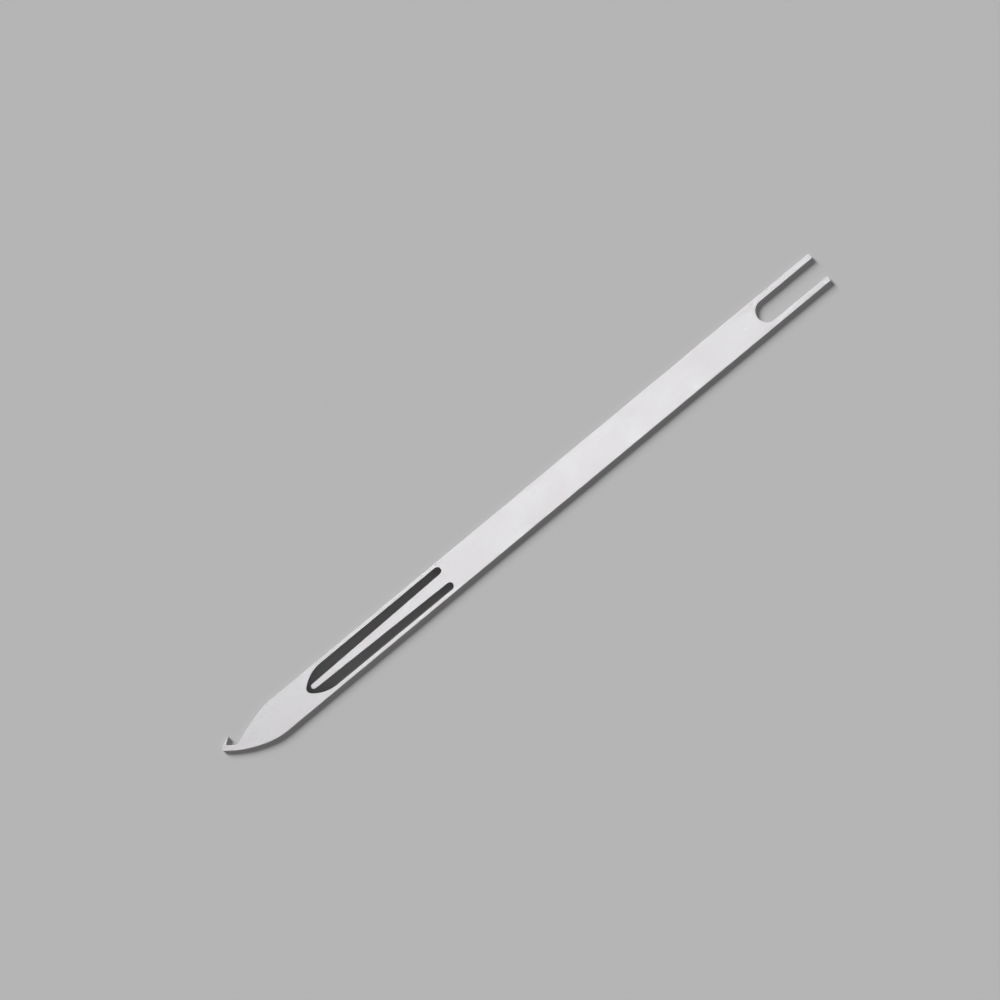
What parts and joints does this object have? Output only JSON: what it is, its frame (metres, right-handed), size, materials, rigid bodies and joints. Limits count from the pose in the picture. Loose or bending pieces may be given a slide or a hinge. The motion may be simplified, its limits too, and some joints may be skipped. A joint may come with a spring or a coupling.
{
  "type": "netting needle",
  "caption": "Flat steel netting needle: barbed hook at the nose, pointed blade, eye with a springy tongue, plain shank and a forked tail.",
  "frame": {"origin": "centre of the underside, on the middle line of the strip and halfway between the nose and the prongs' ends", "axes": "+X from the hook's nose to the fork, +Y towards the side that the hook's barb is on, +Z out of the flat face"},
  "size_m": [0.175, 0.008, 0.0008],
  "materials": {
    "steel": "satin sheet steel with tumbled edges"
  },
  "bodies": {
    "blank": {"hook": "steel", "blade": "steel", "barb_side_rail": "steel", "back_side_rail": "steel", "shank": "steel", "barb_side_prong": "steel", "back_side_prong": "steel"},
    "tongue": {"tongue": "steel"}
  },
  "joints": [
    {"name": "tongue_flex", "type": "hinge", "parent": "blank", "child": "tongue", "pos_m": [-0.02374, 0, 0.0004], "axis": [0, 1, 0], "range_deg": [-4, 4], "stiffness_Nm_per_rad": 1.4}
  ]
}
